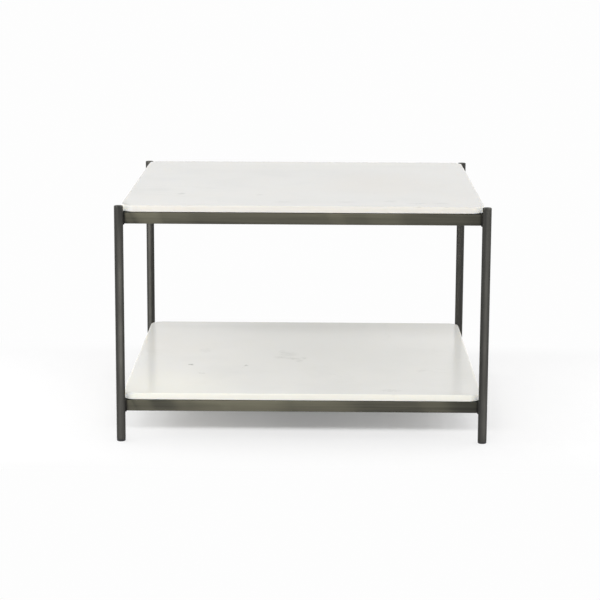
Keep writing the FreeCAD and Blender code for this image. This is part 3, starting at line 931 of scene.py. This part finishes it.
# %% [markdown]
# ## The section of a bar
# Flat bar has rounded edges. They could be bevelled afterwards, but as part of the section they
# cost nothing: four quarter arcs joined by flats. The section also says how near each point is
# to an outer edge, because those edges are worked by hand and wear first. The paler line that
# this puts on the arrises is partly wear and partly painted highlight.

# %% The section of a bar
def bar_profile(width, height, outer_round, inner_round, arc_points=7, flat_points=7):
    """Depth and height round a bar's section, with how near each point is to a worked outer edge.

    Four quarter arcs joined by flats: lower outer, lower inner, upper inner and upper outer.
    """
    radius = np.array([outer_round, inner_round, inner_round, outer_round])
    centre = np.array([(0, 0), (width, 0), (width, height), (0, height)]) + \
        np.array([(1, 1), (-1, 1), (-1, -1), (1, -1)]) * radius[:, None]
    angle = np.radians([180, 270, 0, 90])[:, None] + np.linspace(0, np.pi / 2, arc_points)
    arcs = centre[:, None] + radius[:, None, None] * np.stack([np.cos(angle), np.sin(angle)], axis=-1)
    step = (np.arange(1, flat_points + 1) / (flat_points + 1))[:, None]
    flats = arcs[:, -1:] + (np.roll(arcs, -1, axis=0)[:, :1] - arcs[:, -1:]) * step
    bend = np.sin(np.linspace(0, np.pi, arc_points)) * np.array([1, 0, 0, 1])[:, None]
    near = np.concatenate([bend, np.zeros((4, flat_points))], axis=1)
    return np.concatenate([arcs, flats], axis=1).reshape(-1, 2), near.ravel()


print(len(bar_profile(RAIL_WIDTH, RAIL_WIDTH, RAIL_OUTER_ROUND, RAIL_INNER_ROUND)[0]), "points round a bar")

# %% [markdown]
# ## Marks on the rails
# The patina on the rails is uneven: rubbed back to olive in patches, most of all along the upper
# part of the face, which is also paler throughout. Soot and painted shade blacken them by the
# welds, and painted shade darkens them on top near the ends, under the slabs' corners, and at
# the right ends of the two front rails. Each is a soft mask of the place along the rail and the
# height up its face, so they are worked out for all points at once and carried by the mesh.

# %% Marks on the rails
# where a rail is rubbed back: the middle and the reach, as shares of half its length, and the strength
FRONT_RUBS = {
    "top": ((-0.968, 0.022, 0.34), (-0.850, 0.078, 0.78), (-0.72, 0.12, 0.36), (-0.36, 0.28, 0.16),
            (0.09, 0.55, 0.28), (0.19, 0.06, 0.46), (0.45, 0.12, 0.46)),
    "shelf": ((-0.965, 0.022, 0.42), (-0.89, 0.05, 0.40), (-0.35, 0.32, 0.98), (-0.43, 0.06, 1.10),
              (-0.62, 0.10, 0.60), (0.10, 0.20, 0.68), (0.75, 0.08, 0.30)),
}
PLAIN_RUBS = ((-0.60, 0.20, 0.60), (-0.05, 0.40, 0.42), (0.60, 0.25, 0.55))
# where painted shade darkens the right ends of the front rails, in the same form
FRONT_END_SHADE = {"top": (0.97, 0.07, 0.20), "shelf": (0.95, 0.10, 0.38)}
RUB_SLANT = 0.035
# the share of a rub that shows low on the face, what the upper part adds, and how much paler the
# upper part is anyway
RUB_LOW, RUB_RISE, UPPER_PALING = 0.8, 0.4, 0.12
# painted shade: how dark it is, how far it reaches from a weld, and how far on top from an end
SHADE_SHARE, WELD_SHADE_REACH, TOP_SHADE_REACH = 0.90, 0.0068, 0.03
# shares of the height: where the upper part starts and how far it fades in, and the same for the top
UPPER_START, UPPER_FADE, TOP_START, TOP_FADE = 0.5, 0.4, 0.94, 0.04
UPPER_ARRIS = 0.2    # how bright the upper arris is beside the lower one


def rail_marks(tier, side, share, from_end, climb, near):
    """Rub, bright arris and painted shade of a rail, from the share along it, the way to its end and the
    climb.
    """
    place = share + RUB_SLANT * (climb - 0.5)
    upper = np.clip((climb - UPPER_START) / UPPER_FADE, 0, 1)
    rubs = np.array(FRONT_RUBS[tier] if side == "front" else PLAIN_RUBS)[:, :, None, None]
    middle, reach, strength = np.moveaxis(rubs, 1, 0)
    rub = np.max(strength * np.exp(-((place - middle) / reach) ** 4), axis=0)
    rub = rub * (RUB_LOW + RUB_RISE * upper) + UPPER_PALING * upper
    # painted shade: in the recess by each weld, on top under the slabs' corners, and at the right ends of
    # the front rails
    shade_by_weld = np.exp(-(from_end / WELD_SHADE_REACH) ** 4)
    shade_on_top = np.clip((climb - TOP_START) / TOP_FADE, 0, 1) * np.exp(-(from_end / TOP_SHADE_REACH) ** 2)
    shade_middle, shade_reach, shade_strength = FRONT_END_SHADE[tier]
    shaded_end = (side == "front") * shade_strength * np.exp(-((place - shade_middle) / shade_reach) ** 4)
    arris = near * np.where(climb < 0.5, 1.0, UPPER_ARRIS)
    soot = np.maximum(SHADE_SHARE * np.maximum(shade_by_weld, shade_on_top), shaded_end)
    return {"rub": rub, "arris": arris, "soot": soot}


print({tier: len(rubs) for tier, rubs in FRONT_RUBS.items()}, "rubbed places on the front")

# %% [markdown]
# ## Rails
# A ring is four flat bars on edge, mitred, welded and ground round at the corners. A rail is a
# profile carried along a path: its outer line runs straight and then turns an eighth of a
# circle to the mitre, its inner line is straight, and each point of the profile lies at a
# share of the way between the two. The outer edges are worked round by hand, so the face and
# its edges wave very slightly.

# %% Rails
RAIL_ROWS = 220
ROW_CROWDING = 0.92    # how far the rows crowd together toward the mitres, out of 1
RAIL_WAVE, LONG_DENT, SHORT_DENT, DENT_SLANT = 0.00012, 0.16, 0.012, 3


def make_rail(tier, side, seed):
    """The bar's section between an outer and an inner line, dented inwards, then turned to its side."""
    node = f"{tier}_rail_{side}"
    low, high = span(node)
    section, near = bar_profile(RAIL_WIDTH, high[2] - low[2], RAIL_OUTER_ROUND, RAIL_INNER_ROUND)
    bend = ring_half - RAIL_CORNER_RADIUS
    reach = bend + RAIL_CORNER_RADIUS * np.pi / 4
    share = np.sin(np.linspace(-np.pi / 2, np.pi / 2, RAIL_ROWS) * ROW_CROWDING)
    share = share / math.sin(np.pi / 2 * ROW_CROWDING)
    turn = np.clip(np.abs(share) * reach - bend, 0, None) / RAIL_CORNER_RADIUS
    outer_x = np.where(turn > 0, np.sign(share) * (bend + RAIL_CORNER_RADIUS * np.sin(turn)), share * reach)
    outer_y = RAIL_CORNER_RADIUS * (1 - np.cos(turn))
    inner_x = share * (ring_half - RAIL_WIDTH)
    depth = section[:, 0] / RAIL_WIDTH
    x = outer_x[:, None] * (1 - depth) + inner_x[:, None] * depth
    y = outer_y[:, None] * (1 - depth) + RAIL_WIDTH * depth
    z = low[2] + section[:, 1]
    calm = np.cos(share * np.pi / 2)[:, None] ** 0.5
    dent = RAIL_WAVE * calm * (1 + ripple(x + DENT_SLANT * z, seed, LONG_DENT, SHORT_DENT)) / 2
    y = y + dent * (1 - depth) - ring_half
    z = z + np.where(section[:, 1] < (high[2] - low[2]) / 2, dent, -dent) * near
    angle = math.radians(SIDES[side])
    turned_x = x * math.cos(angle) - y * math.sin(angle)
    turned_y = x * math.sin(angle) + y * math.cos(angle)
    climb = section[:, 1] / (high[2] - low[2])
    from_end = (ring_half - np.abs(outer_x))[:, None]
    piece = skin(f"flat_bar_{tier}_{side}", stacked(turned_x, turned_y, z),
                 marks=rail_marks(tier, side, share[:, None], from_end, climb, near))
    dress(piece, node, iron_across if side in ("front", "back") else iron_deep)


for seed, (tier, side) in enumerate(((tier, side) for tier in TIERS for side in SIDES), start=31):
    make_rail(tier, side, seed)

# %% [markdown]
# ## Centre bars
# A flat bar under the middle of each slab keeps the thin stone from bending. It is the rails'
# profile again, laid flat and carried straight from the front rail to the back one.

# %% Centre bars
BAR_ROUND = 0.001
BAR_ROWS = 90
BAR_RUB = 0.4


def make_centre_bar(tier, seed):
    """The bar's section carried along Y, rubbed back by a slow wave."""
    node = f"{tier}_cross_bar"
    low, high = span(node)
    section, near = bar_profile(high[0] - low[0], high[2] - low[2], BAR_ROUND, BAR_ROUND)
    y = np.linspace(low[1], high[1], BAR_ROWS)[:, None]
    points = stacked(low[0] + section[:, 0], y, low[2] + section[:, 1])
    rub = np.clip(BAR_RUB + ripple(y, seed, 0.5, 0.08), 0, 1)
    dress(skin(f"centre_bar_{tier}", points, marks={"rub": rub, "arris": near}), node, iron_deep)


for seed, tier in enumerate(TIERS, start=51):
    make_centre_bar(tier, seed)

# %% [markdown]
# ## Corner welds
# Where a ring's corner meets a leg, a weld fills the gap between the two round surfaces. Its
# section is a waisted strip along the diagonal, wider where it wets the metal, and the pool
# froze in ripples up its height. Both ends close in a blunt tip. The four welds of a ring are
# one strip, mirrored to each corner.

# %% Corner welds
WELD_AROUND, WELD_ROWS = 40, 56
WELD_WAIST, WELD_FLARE = 0.0031, 0.0014
WELD_SINK = 0.0012
RIPPLE_PITCH, RIPPLE_HEIGHT, RIPPLE_WANDER = 0.0019, 0.00035, 0.6
# the shares of the height over which the lower and the upper end close, and what is left at the tip
LOWER_TIP, UPPER_TIP = 0.07, 0.05
TIP_WIDTH, TIP_LENGTH = 0.35, 0.6


def make_welds(tier, seed):
    """A squarish ring along the diagonal, its width flaring to both ends and rippling with height."""
    node = f"{tier}_frame_welds"
    low, high = span(node)
    ring_corner = ring_half - RAIL_CORNER_RADIUS * (1 - math.sqrt(0.5))
    leg_side = leg_spot[0] - leg_radius * math.sqrt(0.5)
    start, end = (np.array((ring_corner, leg_side)) * math.sqrt(2)) + np.array((-WELD_SINK, WELD_SINK))
    angle = np.linspace(0, 2 * np.pi, WELD_AROUND, endpoint=False)
    rows = np.linspace(0, 1, WELD_ROWS)
    height = low[2] + (high[2] - low[2]) * rows
    closing = np.clip(np.minimum(rows / LOWER_TIP, (1 - rows) / UPPER_TIP), 0, 1)[:, None]
    closing = np.sqrt(1 - (1 - closing) ** 2)
    wander = RIPPLE_WANDER * ripple(height, seed, 0.01, 0.003)
    frozen = np.abs(np.sin(np.pi * (height - low[2]) / RIPPLE_PITCH + wander))
    lengthwise = np.sign(np.cos(angle)) * np.abs(np.cos(angle)) ** 0.5
    crosswise = np.sign(np.sin(angle)) * np.abs(np.sin(angle)) ** 0.5
    flare = WELD_WAIST + WELD_FLARE * lengthwise ** 2 + RIPPLE_HEIGHT * (frozen[:, None] - 0.5)
    across = crosswise * flare * (TIP_WIDTH + (1 - TIP_WIDTH) * closing)
    run = (start + end) / 2 + (end - start) / 2 * lengthwise * (TIP_LENGTH + (1 - TIP_LENGTH) * closing)
    strip = stacked((run - across) / math.sqrt(2), (run + across) / math.sqrt(2), height[:, None])
    # a mirror turns a strip inside out, so there its rings run the other way round
    strips = {1: strip, -1: strip[:, ::-1]}
    shells = np.stack([strips[sx * sy] * (sx, sy, 1) for sx, sy in CORNERS.values()])
    dress(skin(f"corner_welds_{tier}", shells), node, weld)


for seed, tier in enumerate(TIERS, start=61):
    make_welds(tier, seed)

# %% [markdown]
# ## Bumpers
# The slabs lie loose on small clear bumpers, two on each rail and two on the centre bar. A
# bumper is a drop of soft plastic: under the stone's weight its side bulges a little, so its
# profile is a flattened barrel.

# %% Bumpers
BUMPER_AROUND, BUMPER_ROWS = 28, 9
BUMPER_RADIUS, BUMPER_CORE = 0.003, 0.0015
BUMPER_BULGE = 0.10
BUMPER_END = 0.120    # from the end of a rail


def make_bumpers(tier):
    """A barrel whose radius falls off with the fourth power of the way up or down, ten times over."""
    node = f"{tier}_bumpers"
    low, high = span(node)
    lift = np.linspace(-1, 1, BUMPER_ROWS)
    radius = BUMPER_RADIUS * (1 - BUMPER_BULGE * lift ** 4)
    barrel = np.stack([radius, (low[2] + high[2]) / 2 + (high[2] - low[2]) / 2 * lift], axis=1)
    profile = np.concatenate([[(BUMPER_CORE, low[2])], barrel, [(BUMPER_CORE, high[2])]])
    near, far = ring_half - BUMPER_END, ring_half - RAIL_WIDTH / 2
    signs = np.array(list(CORNERS.values()))
    spots = np.concatenate([signs * (near, far), signs * (far, near), [(0, -near), (0, near)]])
    shells = lathe(*profile.T, BUMPER_AROUND)[None] + np.pad(spots, ((0, 0), (0, 1)))[:, None, None]
    dress(skin(f"bumper_pads_{tier}", shells), node, bumper)


for tier in TIERS:
    make_bumpers(tier)

# %% [markdown]
# ## Glides
# Each leg stands on a nylon glide that holds the head of a threaded stud and swivels on it. A
# key reaches the stud through a hole in the glide's floor. The glide is a lathe profile that
# closes on itself, round the pocket for the head. It is put in place with its stud, below.

# %% Glides
GLIDE_AROUND = 56
GLIDE_FLOOR = 0.0009
GLIDE_HOLE = 0.00275
GLIDE_CHAMFER = 0.0008
SWIVEL_SIDE, SWIVEL_END = 0.0003, 0.0002
STUD_HEAD_RADIUS, STUD_HEAD_HEIGHT = 0.0042, 0.0015
STUD_RADIUS = 0.003
FOOT_ROUND = 0.0003


def make_glide(corner):
    """A closed lathe profile: floor, side, top, neck, and the pocket for the stud's head."""
    node = f"foot_glide_{corner}"
    low, high = span(node)
    radius = (high[0] - low[0]) / 2
    lip = GLIDE_FLOOR + STUD_HEAD_HEIGHT + SWIVEL_END
    profile = eased([
        (GLIDE_HOLE, 0), (radius - GLIDE_CHAMFER, 0), (radius, GLIDE_CHAMFER), (radius, high[2]),
        (STUD_RADIUS + SWIVEL_SIDE, high[2]), (STUD_RADIUS + SWIVEL_SIDE, lip),
        (STUD_HEAD_RADIUS + SWIVEL_SIDE, lip), (STUD_HEAD_RADIUS + SWIVEL_SIDE, GLIDE_FLOOR),
        (GLIDE_HOLE, GLIDE_FLOOR)], FOOT_ROUND, steps=5, closed=True)
    rings = lathe(*profile.T, GLIDE_AROUND, leg_spot * CORNERS[corner])
    dress(skin(f"nylon_glide_{corner}", rings, ends=LOOP), node, nylon)


print("pocket", round(1000 * (STUD_HEAD_HEIGHT + SWIVEL_END), 2), "mm high")

# %% [markdown]
# ## Studs
# Turning a stud with a key lowers or raises its leg. The thread is a lathe surface whose radius
# goes up and down as a triangle wave of height minus angle, which is what makes it climb. The
# key's socket is a hexagon: the radius to a flat grows with one over the cosine of the angle
# from its middle.

# %% Studs
STUD_AROUND, STUD_ROWS = 48, 300
THREAD_DEPTH = 0.00054
CREST_TOP, CREST_SLOPE = 1.25, 2.6    # of the triangle wave, which is cut off flat at 1
SOCKET_FLAT, SOCKET_DEPTH = 0.002, 0.001
SOCKET_RIM = 1.3    # the head's face starts this many times a flat's radius out


def make_stud(corner):
    """Rings of the hexagon socket, the turned head and the thread, one after the other."""
    node = f"foot_stud_{corner}"
    low, high = span(node)
    head_top = low[2] + STUD_HEAD_HEIGHT
    angle = np.linspace(0, 2 * np.pi, STUD_AROUND, endpoint=False)
    from_flat = (angle + np.pi / 6) % (np.pi / 3) - np.pi / 6
    hexagon = SOCKET_FLAT / np.cos(from_flat)
    walls = np.array([(0.5, SOCKET_DEPTH), (1, SOCKET_DEPTH), (1, 0.0)])
    socket = lathe(walls[:, :1] * hexagon, low[2] + walls[:, 1], STUD_AROUND)
    profile = eased([
        (SOCKET_FLAT * SOCKET_RIM, low[2]), (STUD_HEAD_RADIUS, low[2]), (STUD_HEAD_RADIUS, head_top),
        (STUD_RADIUS - THREAD_DEPTH, head_top)], FOOT_ROUND)
    head = lathe(*profile.T, STUD_AROUND)
    climb = np.linspace(head_top + THREAD_PITCH / 4, high[2], STUD_ROWS)
    phase = (climb[:, None] / THREAD_PITCH - angle / (2 * np.pi)) % 1
    crest = np.clip(CREST_TOP - CREST_SLOPE * np.abs(phase - 0.5), 0, 1)
    run_in, run_out = (climb - head_top) / (2 * THREAD_PITCH), (high[2] - climb) / THREAD_PITCH
    fade = np.clip(np.minimum(run_in, run_out), 0, 1)
    radius = STUD_RADIUS - THREAD_DEPTH * (1 - crest * fade[:, None])
    rings = np.concatenate([socket, head, lathe(radius, climb, STUD_AROUND)])
    rings[..., :2] += leg_spot * CORNERS[corner]
    dress(skin(f"levelling_stud_{corner}", rings), node, zinc)


for corner in CORNERS:
    make_glide(corner)
    make_stud(corner)

# %% [markdown]
# ## The box
# The dressed table must not outgrow the frame.
